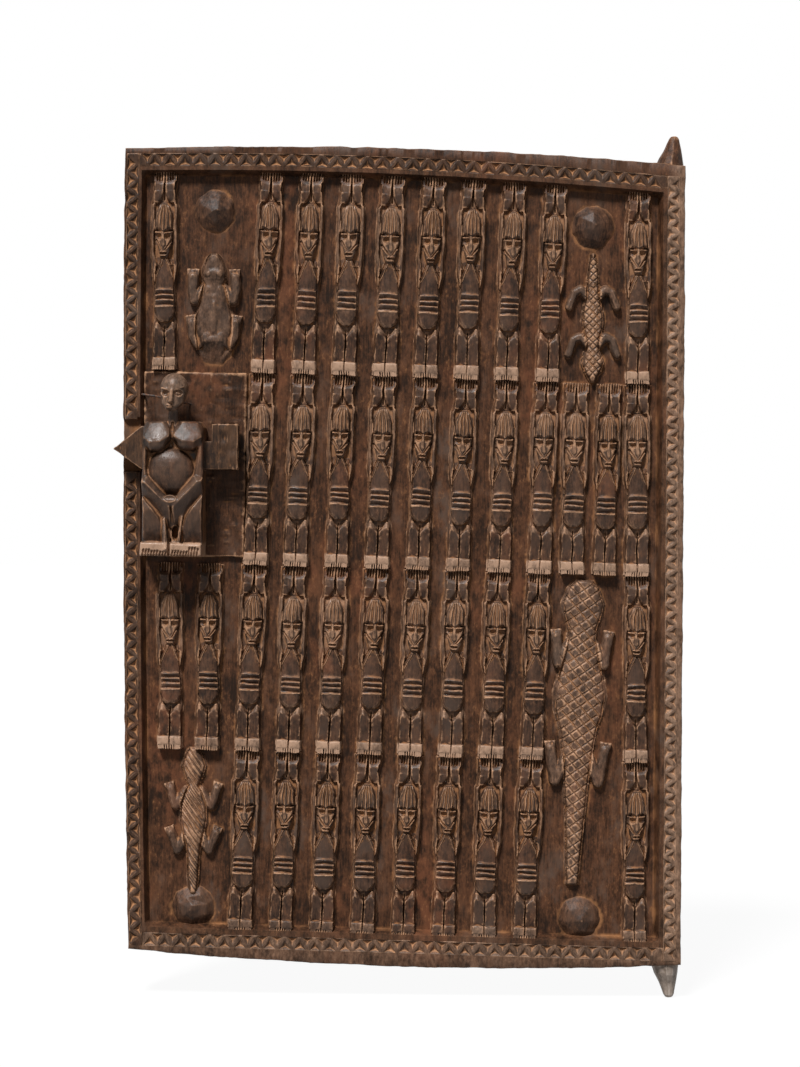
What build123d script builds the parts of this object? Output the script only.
"""Granary door: one carved plank on its own wooden pivots, with a figure lock.

Millimetres, +Z up, carved face towards -Y.  The origin is the tip of the lower
pivot and the Z axis is the line the leaf turns on, so the leaf reaches from
the hinge edge at +X to the free edge at -X.
"""

from build123d import *
import os
from math import cos, pi, radians, sin, tan

# --------------------------------------------------------------------------
# Driving dimensions
# --------------------------------------------------------------------------

# Leaf: outline of the plank, seen from the front
leaf_width = 561.0           # top edge, from hinge edge to free edge
leaf_height = 800.0          # along the hinge edge
leaf_thickness = 36.0
hinge_edge_out = 10.0        # from the turning axis to the hinge edge
free_edge_lift = 13.5        # the free edge stands this much higher
free_edge_rake = 8.0         # the bottom edge is shorter than the top edge by this
top_bulge = 8.7
bottom_bulge = 9.9
free_edge_bulge = 3.2

# Pivots, cut from the same plank
lower_pivot_length = 35.5
upper_pivot_length = 31.5
pivot_root_width = 28.0
pivot_root_depth = 32.0
pivot_neck_share = 0.55      # where the taper changes, as a share of the length
pivot_neck_width = 18.0
pivot_neck_in = 1.5          # middle of the neck, from the turning axis
pivot_tip = 11.0             # diameter of the worn end
pivot_tip_wear = 2.6

# Border and sunk field
border_free = 17.0           # width of the raised border on each side
border_hinge = 22.0
border_top = 22.0
border_top_extra = 7.0       # the top border widens towards the hinge
border_bottom = 22.0
field_depth = 11.0
wall_draft = 22.0            # slope of the field's walls, degrees
field_top_bulge = 8.3

# Figures in rows
row_count = 4
lock_row = 2                 # row beside the lock, counted from the foot of the leaf
row_start = 1.5              # how far the lowest feet bite into the border
row_growth = 6.0             # each row is taller than the one below
column_count = 8
first_column_in = 111.5      # from the free edge, at the foot of the leaf
last_column_in = 146.4       # from the turning axis, at the foot of the leaf
column_lean = 2.0            # degrees from upright
edge_column_in = 36.0        # column beside the hinge border
free_column_in = 23.0        # column beside the free border
figure_width = 24.0
head_relief = 11.0
body_relief = 9.5
leg_relief = 8.0
foot_relief = 10.0
arm_relief = 6.5
slit_width = 1.5             # gap between the legs
figure_bevel = 2.0
relief_bite = 1.0            # carving is drawn from this far inside the ground
feet_share = 0.07            # heights on a figure, as shares of its height
leg_share = 0.26
belly_share = 0.235
elbow_share = 0.47
shoulder_share = 0.60
crown_share = 0.885
wrist_share = 0.92

# Bosses and animals
boss_radius = 22.0
boss_top_radius = 6.0
boss_relief = 13.0
boss_sides = 9
boss_below_top = 40.0
boss_over_bottom = 20.5
animal_relief = 8.0
limb_relief = 6.0
limb_width = 7.5
turtle_below_boss = -3.5     # from the boss's lower rim, tucked in under it
small_crocodile_below_boss = 4.5
lizard_above_row = 2.0       # from the line that the row's feet stand on
crocodile_below_row = 5.0

# Lock case: a carved figure, measured from the bolt's bed
lock_centre_in = 51.8        # from the free edge to the figure's centre line
lock_foot_height = 441.5     # above the lower pivot's tip
case_width = 61.0
case_height = 134.0          # foot to shoulder
case_depth = 32.0            # board of the case, without the carving on it
case_draft = 2.5             # degrees
shoulder_corner = 5.0
carving_depth = 14.0         # arms, chest and ledge stand this far off the board
ledge_height = 14.0
chest_height = 30.0
belly_half_width = 19.0
belly_half_height = 23.0
belly_above_foot = 82.5
elbow_above_foot = 76.0
hands_above_foot = 28.0
arm_width = 9.0
toe_count = 10
toe_slit = 1.4
toe_slit_depth = 4.0
feet_gap = 2.0
feet_gap_depth = 6.0
hands_half_width = 6.5
hands_half_height = 4.0
head_half_width = 13.5
head_half_height = 19.0
head_half_depth = 14.5
head_above_foot = 162.0
head_back_in = 14.0          # the back of the head lies this far behind the board's front
head_tilt = 1.0              # degrees
head_sides = 10
nose_length = 10.0
nose_half_width = 3.0
face_relief = 3.5            # brow and nose in front of the head's facets
arm_bevel = 3.0
neck_radius = 5.5
neck_sides = 8
seat_rise = 5.0              # blank seat for the lock, above the field
seat_margin = 4.0            # the seat shows this much above the figure's head
seat_width = 102.3           # from the foot of the free border's wall

# Bolt, at rest as it was left: nearly shot
bolt_reach = 7.5             # tip beyond the free edge
bolt_above_foot = 86.5       # underside of the bolt above the lock's foot
bolt_depth = 25.5
shank_height = 27.5
head_height = 42.0
tip_above_underside = 19.5
arrow_length = 27.5
shoulder_inside = 5.5        # the arrow head enters the case by this much at rest
block_length = 26.5
block_height = 44.5
block_relief = 6.5           # cut away behind so that the block rides over the carving
bolt_throw = 6.0             # still to go to the shut stop
bolt_draw = 14.0             # back to the open stop
stop_gap = 0.4
bolt_play = 0.8              # round the shank and the head in the case
bed_gap = 0.3                # bolt over its bed
notch_margin_top = 8.0
notch_margin_bottom = 2.5

# Drop pins and key slot
pin_width = 7.0
pin_thickness = 8.0
pin_length = 12.0
pin_lift = 4.0
pin_play = 0.4
pin_rest_gap = 0.2
pin_bevel = 0.8
first_pin_in = 27.5          # from the case's free side to the first pin
pin_spacing = 23.0           # wider than the bolt's travel
pin_depth_in = 16.0          # from the bed to the middle of the pins
slot_roof = 8.0
slot_height = 9.0
slot_width = 10.0
slot_past_hole = 1.0

# Iron
staple_size = 2.8            # square wire
staple_leg_in_leaf = 22.0
staple_stand_off = 26.0      # crown above the bed, inside the back of the head
staple_bend = 6.0
staple_left_above_foot = 160.5
staple_right_above_foot = 148.5
staple_side_gap = 1.5        # from the case's sides to the legs
iron_fit = 0.15
nail_size = 4.0
nail_point = 1.5
nail_head_radius = 6.0
nail_head_height = 2.6
nail_head_sides = 8
nail_sink = 0.3
nail_in_case = 24.0
nail_above_foot = 40.0
nail_spread = 29.0

# --------------------------------------------------------------------------
# Places worked out from the sizes
# --------------------------------------------------------------------------

front = -leaf_thickness / 2
back = leaf_thickness / 2
ground = front + field_depth
bed = ground - seat_rise                       # seat of the lock and floor of the notch
leaf_bottom = lower_pivot_length
leaf_top = lower_pivot_length + leaf_height
free_top = hinge_edge_out - leaf_width
free_bottom = free_top + free_edge_rake
skew = free_edge_lift / leaf_width


def lifted(x: float, z: float) -> float:
    """Height at x of a line that meets the turning axis at height z."""
    return z - x * skew


def free_edge(z: float) -> float:
    """Free edge at height z, with its bulge."""
    share = (z - leaf_bottom) / leaf_height
    straight = free_bottom + (free_top - free_bottom) * share
    return straight - 4 * free_edge_bulge * share * (1 - share)


lock_x = free_edge(lock_foot_height) + lock_centre_in
case_free = lock_x - case_width / 2
case_hinge = lock_x + case_width / 2
bolt_bottom = lock_foot_height + bolt_above_foot
shank_top = bolt_bottom + shank_height
bolt_back = bed - bed_gap
bolt_front = bolt_back - bolt_depth
bolt_tip = free_edge(bolt_bottom) - bolt_reach
bolt_shoulder = case_free + shoulder_inside
block_start = case_hinge + bolt_throw + stop_gap
bolt_end = block_start + block_length
pin_y = bed - pin_depth_in
pin_places = [case_free + first_pin_in, case_free + first_pin_in + pin_spacing]
field_bottom = leaf_bottom + border_bottom
field_top = leaf_top - border_top
board_front = bed - case_depth


# --------------------------------------------------------------------------
# Small helpers
# --------------------------------------------------------------------------

def face_plane(y: float) -> Plane:
    """Plane parallel to the carved face, with its normal towards the viewer."""
    return Plane.XZ.offset(-y)


def raised(sketch: Sketch, y: float, height: float, draft: float = 0.0) -> Part:
    """Sketch drawn on the face at depth y and raised towards the viewer."""
    return extrude(face_plane(y) * sketch, amount=height, taper=draft)


def outline(points: list) -> Sketch:
    """Closed flat shape through the points."""
    return make_face(Polyline(*points, close=True))


def mirrored(stations: list) -> Sketch:
    """Shape symmetrical about its middle line, from (height, half width) stations."""
    right = [(half, z) for z, half in stations]
    left = [(-half, z) for z, half in reversed(stations)]
    return outline(right + left)


def bar(start: tuple, end: tuple, width: float) -> Sketch:
    """Straight strip from start to end."""
    a, b = Vector(*start), Vector(*end)
    along = (b - a).normalized()
    side = Vector(-along.Y, along.X) * (width / 2)
    return outline([(c.X, c.Y) for c in (a + side, b + side, b - side, a - side)])


def block(x0: float, x1: float, y0: float, y1: float, z0: float, z1: float) -> Part:
    """Box between two corners."""
    return Pos((x0 + x1) / 2, (y0 + y1) / 2, (z0 + z1) / 2) * Box(
        abs(x1 - x0), abs(y1 - y0), abs(z1 - z0)
    )


def at_depth(points: list, y: float) -> list:
    """Points of an (x, z) outline set at one depth."""
    return [(x, y, z) for x, z in points]


def faceted(rings: list) -> Part:
    """Solid with flat facets through closed rings that have as many points each."""
    def flat(*corners: tuple) -> Face:
        return Face(Wire.make_polygon(corners, close=True))

    faces = [flat(*rings[0]), flat(*rings[-1])]
    for low, high in zip(rings, rings[1:]):
        for n in range(len(low)):
            faces += [flat(low[n - 1], low[n], high[n]), flat(low[n - 1], high[n], high[n - 1])]
    return Part() + Solid(Shell(faces))


# --------------------------------------------------------------------------
# Leaf
# --------------------------------------------------------------------------

def leaf_blank() -> Part:
    """Plank with its hand-cut, slightly bulging edges."""
    bottom_right = (hinge_edge_out, leaf_bottom)
    top_right = (hinge_edge_out, leaf_top)
    top_left = (free_top, lifted(free_top, leaf_top))
    bottom_left = (free_bottom, lifted(free_bottom, leaf_bottom))
    edges = [
        Line(bottom_right, top_right),
        SagittaArc(top_right, top_left, -top_bulge),
        SagittaArc(top_left, bottom_left, -free_edge_bulge),
        SagittaArc(bottom_left, bottom_right, -bottom_bulge),
    ]
    return raised(make_face(edges), back, leaf_thickness)


def pivot(base_z: float, length: float, up: int) -> Part:
    """Tapered pivot from the leaf's end to a worn tip on the turning axis."""
    def level(share: float, x: float) -> Plane:
        return Plane((x, 0, base_z + up * length * share), z_dir=(0, 0, up))

    root_x = hinge_edge_out - pivot_root_width / 2
    root = level(0, root_x) * Ellipse(pivot_root_width / 2, pivot_root_depth / 2)
    neck = level(pivot_neck_share, -pivot_neck_in) * Circle(pivot_neck_width / 2)
    tip = level(1, 0) * Circle(pivot_tip / 2)
    body = loft([root, neck, tip])
    rim = body.edges().group_by(Axis.Z)[-1 if up > 0 else 0]
    return chamfer(rim, pivot_tip_wear)


def field_top_at(x: float) -> float:
    """Upper edge of the field at x, with its bulge."""
    share = (x - free_top) / (hinge_edge_out - free_top)
    return lifted(x, field_top) + 4 * field_top_bulge * share * (1 - share)


def field_pocket() -> Part:
    """Sunk field inside the border, with sloping walls."""
    left_top, left_bottom = free_top + border_free, free_bottom + border_free
    right = hinge_edge_out - border_hinge
    bottom_left = (left_bottom, lifted(left_bottom, field_bottom))
    bottom_right = (right, lifted(right, field_bottom))
    top_right = (right, lifted(right, field_top) - border_top_extra)
    top_left = (left_top, lifted(left_top, field_top))
    edges = [
        Line(bottom_left, bottom_right),
        Line(bottom_right, top_right),
        SagittaArc(top_right, top_left, -field_top_bulge),
        SagittaArc(top_left, bottom_left, -free_edge_bulge),
    ]
    return extrude(face_plane(front) * make_face(edges), amount=-field_depth, taper=wall_draft)


def carved(sketch: Sketch, relief: float, bevel: float = 0.0) -> Part:
    """Relief standing on the field, its foot sunk a little into the wood."""
    shape = raised(sketch, ground + relief_bite, relief + relief_bite)
    return chamfer(shape.faces().sort_by(Axis.Y)[0].edges(), bevel) if bevel else shape


def figure(height: float) -> Part:
    """Ancestor figure with raised arms, standing on z = 0 and centred on x = 0."""
    half = figure_width / 2
    feet, knees, belly = height * feet_share, height * leg_share, height * belly_share
    elbow, shoulder = height * elbow_share, height * shoulder_share
    crown, wrist = height * crown_share, height * wrist_share
    foot_block = outline([(-half, 0), (half, 0), (half, feet), (-half, feet)])
    leg_width = half - slit_width
    leg = Pos(slit_width / 2 + leg_width / 2, (feet + knees) / 2) * Rectangle(
        leg_width, knees - feet
    )
    trunk = mirrored([
        (belly, half * 0.35),
        (belly + half * 0.6, half * 0.75),
        (shoulder - half * 0.3, half * 0.7),
        (shoulder, half * 0.35),
    ])
    skull = mirrored([
        (shoulder + half * 0.1, half * 0.25),
        (shoulder + half * 0.8, half * 0.55),
        (crown - half * 1.1, half * 0.55),
        (crown, half * 0.25),
    ])
    arm = outline([
        (half * 0.6, elbow),
        (half * 0.95, elbow + half * 0.7),
        (half, wrist - half),
        (half * 0.8, height),
        (slit_width / 2, height),
        (slit_width / 2, crown),
        (half * 0.68, crown - half),
        (half * 0.68, elbow + half),
    ])
    return (
        carved(foot_block, foot_relief)
        + carved(leg, leg_relief)
        + carved(mirror(leg, Plane.YZ), leg_relief)
        + carved(trunk, body_relief)
        + carved(skull, head_relief, figure_bevel)
        + carved(arm, arm_relief)
        + carved(mirror(arm, Plane.YZ), arm_relief)
    )


def row_feet() -> list:
    """Height of each row's feet at the turning axis, lowest row first, and the top."""
    total = field_top - field_bottom + row_start
    lowest = (total - row_growth * sum(range(row_count))) / row_count
    feet = [field_bottom - row_start]
    for row in range(row_count):
        feet.append(feet[-1] + lowest + row_growth * row)
    return feet


def column_x(column: float, z: float) -> float:
    """Middle of a leaning column at height z."""
    first = free_bottom + first_column_in
    pitch = (-last_column_in - first) / (column_count - 1)
    return first + pitch * column + tan(radians(column_lean)) * (z - field_bottom)


def figure_places() -> list:
    """(x, foot z, height, lean) of every figure on the field."""
    feet = row_feet()
    hinge_column = -edge_column_in
    free_column = free_bottom + border_free + free_column_in
    places = []
    for row in range(row_count):
        z, above = feet[row], feet[row + 1]
        columns = [(column_x(k, z), column_lean) for k in range(column_count)]
        columns.append((hinge_column, 0.0))
        if row == lock_row:
            gap = (hinge_column - column_x(column_count - 1, z)) / 3
            columns += [(hinge_column - gap * n, column_lean / 2) for n in (1, 2)]
        if row == lock_row - 1:
            columns += [(column_x(-1, z), column_lean / 2), (free_column, 0.0)]
        if row == row_count - 1:
            columns.append((free_column + free_top - free_bottom, 0.0))
        for x, lean in columns:
            top = field_top_at(x) if row == row_count - 1 else lifted(x, above)
            places.append((x, lifted(x, z), top - lifted(x, z), lean))
    return places


def figures() -> list:
    """All the figures, each cut to the height of its row."""
    patterns = {}
    placed = []
    for x, z, height, lean in figure_places():
        size = round(height)
        if size not in patterns:
            patterns[size] = figure(size)
        placed.append(Pos(x, 0, z) * Rot(0, lean, 0) * patterns[size])
    return placed


def boss(x: float, z: float) -> Part:
    """Low faceted cone left standing on the field."""
    base = face_plane(ground + relief_bite) * RegularPolygon(boss_radius, boss_sides)
    top = face_plane(ground - boss_relief) * RegularPolygon(boss_top_radius, boss_sides)
    return Pos(x, 0, z) * loft([base, top], ruled=True)


def bosses() -> list:
    """The four bosses, two under the top border and two over the bottom one."""
    feet = row_feet()
    upper, lower = feet[row_count - 1], feet[0]
    left = (column_x(0, upper) + free_top + border_free + free_column_in) / 2
    right = (column_x(column_count - 1, upper) - edge_column_in) / 2
    low_left = (column_x(0, lower) + free_bottom + border_free) / 2
    low_right = (column_x(column_count - 1, lower) - edge_column_in) / 2
    return [
        boss(left, field_top_at(left) - boss_below_top),
        boss(right, field_top_at(right) - boss_below_top),
        boss(low_left, lifted(low_left, field_bottom) + boss_over_bottom),
        boss(low_right, lifted(low_right, field_bottom) + boss_over_bottom),
    ]


def animal(stations: list, limbs: list) -> Part:
    """Animal seen from above: body from stations, each limb a chain on both sides."""
    shape = carved(mirrored(stations), animal_relief)
    for chain in limbs:
        for start, end in zip(chain, chain[1:]):
            strip = bar(start, end, limb_width)
            shape += carved(strip, limb_relief)
            shape += carved(mirror(strip, Plane.YZ), limb_relief)
    return shape


def turtle() -> Part:
    """Turtle hanging head up from z = 0."""
    stations = [(0, 5), (-12, 13), (-30, 11), (-38, 7), (-48, 14), (-66, 19), (-84, 13), (-94, 6)]
    limbs = [[(8, -35), (20, -54), (22, -26)], [(13, -84), (20, -98), (25, -76)]]
    return animal(stations, limbs)


def small_crocodile() -> Part:
    """Small crocodile hanging tail up from z = 0."""
    stations = [(0, 1.5), (-40, 6), (-68, 11.5), (-91, 6), (-112, 10), (-130, 3)]
    limbs = [[(8, -49), (19, -38), (25, -58)], [(6, -90), (17, -83), (24, -107)]]
    return animal(stations, limbs)


def lizard() -> Part:
    """Lizard hanging head up from z = 0."""
    stations = [(0, 4), (-18, 12), (-38, 5), (-50, 12), (-75, 13), (-104, 6), (-146, 4)]
    limbs = [[(6, -42), (22, -58), (25, -36)], [(6, -88), (17, -106), (25, -84)]]
    return animal(stations, limbs)


def crocodile() -> Part:
    """Big crocodile hanging head up from z = 0."""
    stations = [
        (0, 8), (-24, 20.5), (-50, 14), (-74, 16), (-117, 25.5), (-146, 19), (-204, 12), (-306, 5),
    ]
    limbs = [[(13, -60), (26, -88), (27, -53)], [(10, -176), (25, -206), (30, -165)]]
    return animal(stations, limbs)


def animals() -> list:
    """The four animals in the fields that the figures leave free."""
    feet = row_feet()
    top, second, lowest = feet[row_count - 1], feet[lock_row - 1], feet[1]
    left = (column_x(0, top) + free_top + border_free + free_column_in) / 2
    right = (column_x(column_count - 1, top) - edge_column_in) / 2
    low_left = (column_x(0, feet[0]) + free_bottom + border_free) / 2
    low_right = (column_x(column_count - 1, second) - edge_column_in) / 2
    boss_rim = boss_below_top + boss_radius
    hang = lifted(low_right, feet[lock_row]) - crocodile_below_row
    return [
        Pos(left, 0, field_top_at(left) - boss_rim - turtle_below_boss) * turtle(),
        Pos(right, 0, field_top_at(right) - boss_rim - small_crocodile_below_boss) * small_crocodile(),
        Pos(low_left, 0, lifted(low_left, lowest) + lizard_above_row) * lizard(),
        Pos(low_right, 0, hang) * Rot(0, column_lean, 0) * crocodile(),
    ]


def lock_seat() -> Part:
    """Blank raised seat for the lock, kept free of carving."""
    left = free_top + border_free
    top = lock_foot_height + head_above_foot + head_half_height + seat_margin
    return block(left, left + seat_width, ground + relief_bite, bed, lock_foot_height, top)


def bolt_notch() -> Part:
    """Notch through the free border, level with the seat."""
    return block(
        free_top - border_free, free_bottom + border_free + field_depth, bed, front - 1,
        bolt_bottom - notch_margin_bottom, bolt_bottom + head_height + notch_margin_top,
    )


def door_leaf() -> Part:
    """The whole plank: panel, border, carving, lock seat, notch and pivots."""
    leaf = leaf_blank() - field_pocket()
    root = pivot_root_width / 2
    leaf += pivot(leaf_bottom + root, lower_pivot_length + root, -1)
    leaf += pivot(leaf_top - root, upper_pivot_length + root, 1)
    leaf += figures() + bosses() + animals() + [lock_seat()]
    leaf -= bolt_notch()
    leaf -= staple(iron_fit)
    leaf -= nails(iron_fit)
    return leaf


# --------------------------------------------------------------------------
# Lock
# --------------------------------------------------------------------------

def bolt_outline() -> Sketch:
    """Side of the bolt as the viewer sees it: arrow, shank and stop block."""
    z = bolt_bottom
    return outline([
        (bolt_tip, z + tip_above_underside),
        (bolt_tip + arrow_length, z + head_height),
        (bolt_shoulder, z + head_height),
        (bolt_shoulder, z + shank_height),
        (block_start, z + shank_height),
        (block_start, z + block_height),
        (bolt_end, z + block_height),
        (bolt_end, z),
        (bolt_tip + arrow_length, z),
    ])


def bolt() -> Part:
    """Bolt with arrow head, stop block, key slot and the two pin holes."""
    shape = raised(bolt_outline(), bolt_back, bolt_depth)
    shape -= block(block_start, bolt_end + 1, bolt_back + 1, bolt_back - block_relief, 0, leaf_top)
    first, second = (x + bolt_throw for x in pin_places)
    slot_top = bolt_bottom + shank_height - slot_roof
    slot_end = first - pin_width / 2 - pin_play - slot_past_hole
    shape -= block(
        slot_end, bolt_end + 1, pin_y - slot_width / 2, pin_y + slot_width / 2,
        slot_top - slot_height, slot_top,
    )
    for x in (first, second):
        shape -= pin_shape(x, slot_top - 1, bolt_bottom + shank_height + 1, pin_play)
    return shape


def pin_shape(x: float, z0: float, z1: float, play: float) -> Part:
    """Square peg, or the hole for it, between two heights."""
    half, deep = pin_width / 2 + play, pin_thickness / 2 + play
    return block(x - half, x + half, pin_y - deep, pin_y + deep, z0, z1)


def drop_pin(x: float) -> Part:
    """Tumbler resting on the shank of the bolt."""
    foot = bolt_bottom + shank_height + pin_rest_gap
    peg = pin_shape(x, foot, foot + pin_length, 0)
    return chamfer(peg.edges().filter_by(Axis.Z), pin_bevel)


def facets(outline_points: list, inner_points: list, depth: float) -> Part:
    """Facetted relief on the board, from its outline up to a smaller front face."""
    return faceted([
        at_depth(outline_points, board_front + relief_bite),
        at_depth(inner_points, board_front - depth),
    ])


def oval(half_width: float, half_height: float, z: float, sides: int) -> list:
    """Points of an oval, drawn with straight cuts."""
    turns = [2 * pi * (n + 0.5) / sides for n in range(sides)]
    return [(half_width * cos(t), z + half_height * sin(t)) for t in turns]


def both_sides(shape: Part) -> Part:
    """Shape and its mirror image about the figure's middle line."""
    return shape + mirror(shape, Plane.YZ)


def lock_head(z: float) -> Part:
    """Egg-shaped head cut in flat facets, with brow and nose."""
    middle_y = board_front + head_back_in - head_half_depth
    profile = [(-1, 0.3), (-0.72, 0.6), (-0.25, 0.88), (0.2, 1), (0.6, 0.86), (0.85, 0.58), (1, 0.25)]
    rings = []
    for height, width in profile:
        ring = oval(head_half_width * width, head_half_depth * width, middle_y, head_sides)
        rings.append([(x, y, z + head_half_height * height) for x, y in ring])
    bridge, wide = z + 3, nose_half_width
    nose = outline([(-1, bridge), (1, bridge), (wide, bridge - nose_length), (-wide, bridge - nose_length)])
    brow = mirrored([(bridge, wide * 2.7), (bridge + wide, wide * 2.3)])
    face = face_plane(middle_y - head_half_depth + face_relief)
    return faceted(rings) + extrude(face * nose, amount=face_relief) + (
        extrude(face * brow, amount=face_relief * 0.8))


def toe_cuts() -> Part:
    """Slits between the toes and the wider gap between the feet."""
    front_y = bed - case_depth - carving_depth
    cuts = Part()
    for n in range(1, toe_count):
        x = case_width * (n / toe_count - 0.5)
        cuts += block(x - toe_slit / 2, x + toe_slit / 2, front_y - 1, front_y + toe_slit_depth,
                      -1, ledge_height / 2)
    return cuts + block(-feet_gap / 2, feet_gap / 2, front_y - 1, front_y + feet_gap_depth,
                        -1, ledge_height + 1)


def breast(rim: float) -> Part:
    """Right breast and shoulder; points are shares of the half width and the chest's height."""
    base = [(0.03, -0.3), (0.2, 0), (0.8, 0), (1, -0.17), (1, -0.73), (0.55, -1), (0.03, -0.53)]
    crest = [(0.24, -0.43), (0.31, -0.33), (0.7, -0.37), (0.78, -0.47), (0.78, -0.63), (0.55, -0.77),
             (0.24, -0.57)]
    wide, narrow = (
        [(x * rim, case_height + z * chest_height) for x, z in points] for points in (base, crest))
    return facets(wide, narrow, carving_depth)


def belly() -> Part:
    """Domed belly in flat facets."""
    profile = [(0, 1), (0.55, 0.9), (0.85, 0.68), (1, 0.4)]
    return faceted([
        at_depth(oval(belly_half_width * share, belly_half_height * share, belly_above_foot, 12),
                 board_front + relief_bite - carving_depth * depth)
        for depth, share in profile
    ])


def lock_arm(rim: float) -> Part:
    """Right arm: straight down to the elbow, then slanting in to the hands."""
    out, wide, low = rim - 0.5, arm_width, hands_above_foot
    armpit, palm = case_height - chest_height * 0.67, hands_above_foot + arm_width * 2
    base = [
        (out, armpit), (out, elbow_above_foot - 2), (wide * 0.3, low - 2), (-0.5, low), (-0.5, palm),
        (wide * 0.7, palm + 3), (out - wide, elbow_above_foot + 4), (out - wide * 0.7, armpit),
    ]
    crest = [
        (out - arm_bevel, armpit), (out - arm_bevel, elbow_above_foot - 1),
        (wide * 0.4, low + arm_bevel), (-0.5, low + arm_bevel), (-0.5, palm - arm_bevel * 2),
        (wide * 0.7, palm - arm_bevel), (out - wide + arm_bevel * 0.7, elbow_above_foot + 2),
        (out - wide * 0.7 + arm_bevel * 0.5, armpit),
    ]
    return facets(base, crest, carving_depth * 0.75)


def lock_thigh(rim: float) -> Part:
    """Right thigh, widening from the knee up to the hip."""
    knee, hip, inner = ledge_height - 1, elbow_above_foot * 0.7, arm_width
    return facets(
        [(rim, knee), (rim, hip), (inner, knee + 16), (2, knee)],
        [(rim - 5, knee + 2), (rim - 6, hip * 0.7), (inner, knee + 6), (inner - 2, knee + 2)],
        carving_depth * 0.55,
    )


def lock_body() -> Part:
    """Board of the lock with the carved body, arms, thighs and feet, centred on x = 0."""
    half = case_width / 2
    rim = half - tan(radians(case_draft)) * case_depth
    shoulders = mirrored([
        (0, half), (case_height - shoulder_corner, half), (case_height, half - shoulder_corner),
    ])
    board = raised(shoulders, bed, case_depth, case_draft)
    ledge = raised(mirrored([(0, half), (ledge_height, half - 1)]), bed, case_depth + carving_depth)
    palms = oval(hands_half_width, hands_half_height, belly_above_foot - belly_half_height - 4, 8)
    hands = raised(outline(palms), board_front + relief_bite, carving_depth + relief_bite)
    return board + (ledge - toe_cuts()) + both_sides(breast(rim)) + belly() + (
        both_sides(lock_arm(rim)) + both_sides(lock_thigh(rim)) + hands)


def lock_case() -> Part:
    """Lock carved as a woman with her hands before her, hollowed out for the bolt."""
    neck_y = board_front + head_back_in - head_half_depth
    neck_foot = case_height - chest_height / 4
    neck = Pos(0, neck_y, neck_foot) * extrude(
        RegularPolygon(neck_radius, neck_sides), amount=head_above_foot - head_half_height / 2 - neck_foot
    )
    case = Pos(lock_x, 0, lock_foot_height) * (
        lock_body() + neck + Rot(0, head_tilt, 0) * lock_head(head_above_foot)
    )
    case -= channel()
    for x in pin_places:
        top = bolt_bottom + shank_height + pin_rest_gap + pin_length + pin_lift + pin_play
        case -= pin_shape(x, bolt_bottom + shank_height, top, pin_play)
    return case - staple(iron_fit) - nails(iron_fit)


def channel() -> Part:
    """Room for the bolt: wide for the arrow head, narrow for the shank."""
    pocket_end = bolt_shoulder + bolt_draw + stop_gap
    face, low = bolt_front - bolt_play, bolt_bottom - bolt_play
    wide = block(case_free - 1, pocket_end, bed + 1, face, low,
                 bolt_bottom + head_height + bolt_play)
    narrow = block(pocket_end - 1, case_hinge + 1, bed + 1, face, low,
                   bolt_bottom + shank_height + bolt_play)
    return wide + narrow


# --------------------------------------------------------------------------
# Iron
# --------------------------------------------------------------------------

def staple(play: float = 0.0) -> Part:
    """Wire staple through the back of the head, its legs driven into the leaf."""
    inner = bed + staple_leg_in_leaf
    crown = bed - staple_stand_off
    left, right = case_free - staple_side_gap, case_hinge + staple_side_gap
    z_left = lock_foot_height + staple_left_above_foot
    z_right = lock_foot_height + staple_right_above_foot
    path = FilletPolyline(
        (left, inner, z_left), (left, crown, z_left), (right, crown, z_right),
        (right, inner, z_right), radius=staple_bend,
    )
    size = staple_size + 2 * play
    profile = Plane((left, inner, z_left), z_dir=(0, -1, 0)) * Rectangle(size, size)
    return sweep(profile, path=path)


def nails(play: float = 0.0) -> Part:
    """Two forged nails driven from the back of the leaf into the lock's foot."""
    def level(y: float) -> Plane:
        return Plane((0, y, 0), z_dir=(0, -1, 0))

    head_back = back - nail_sink
    head_front = head_back - nail_head_height
    size, point = nail_size + 2 * play, nail_point + 2 * play
    shank = faceted([
        at_depth([(-half, -half), (half, -half), (half, half), (-half, half)], y)
        for half, y in ((size / 2, head_front), (point / 2, bed - nail_in_case))
    ])
    opening = back if play else head_back
    head = extrude(level(opening) * RegularPolygon(nail_head_radius + play, nail_head_sides),
                   amount=opening - head_front)
    nail = Pos(0, 0, lock_foot_height + nail_above_foot) * (shank + head)
    return Part() + [Pos(lock_x + side * nail_spread / 2, 0, 0) * nail for side in (-1, 1)]


# --------------------------------------------------------------------------
# Parts
# --------------------------------------------------------------------------

os.makedirs("parts", exist_ok=True)
nodes = {
    "door_leaf": door_leaf(),
    "lock_case": lock_case(),
    "bolt": bolt(),
    "drop_pin_left": drop_pin(pin_places[0]),
    "drop_pin_right": drop_pin(pin_places[1]),
    "neck_staple": staple(),
    "lower_nails": nails(),
}
for name, shape in nodes.items():
    export_step(shape, f"parts/{name}.step")
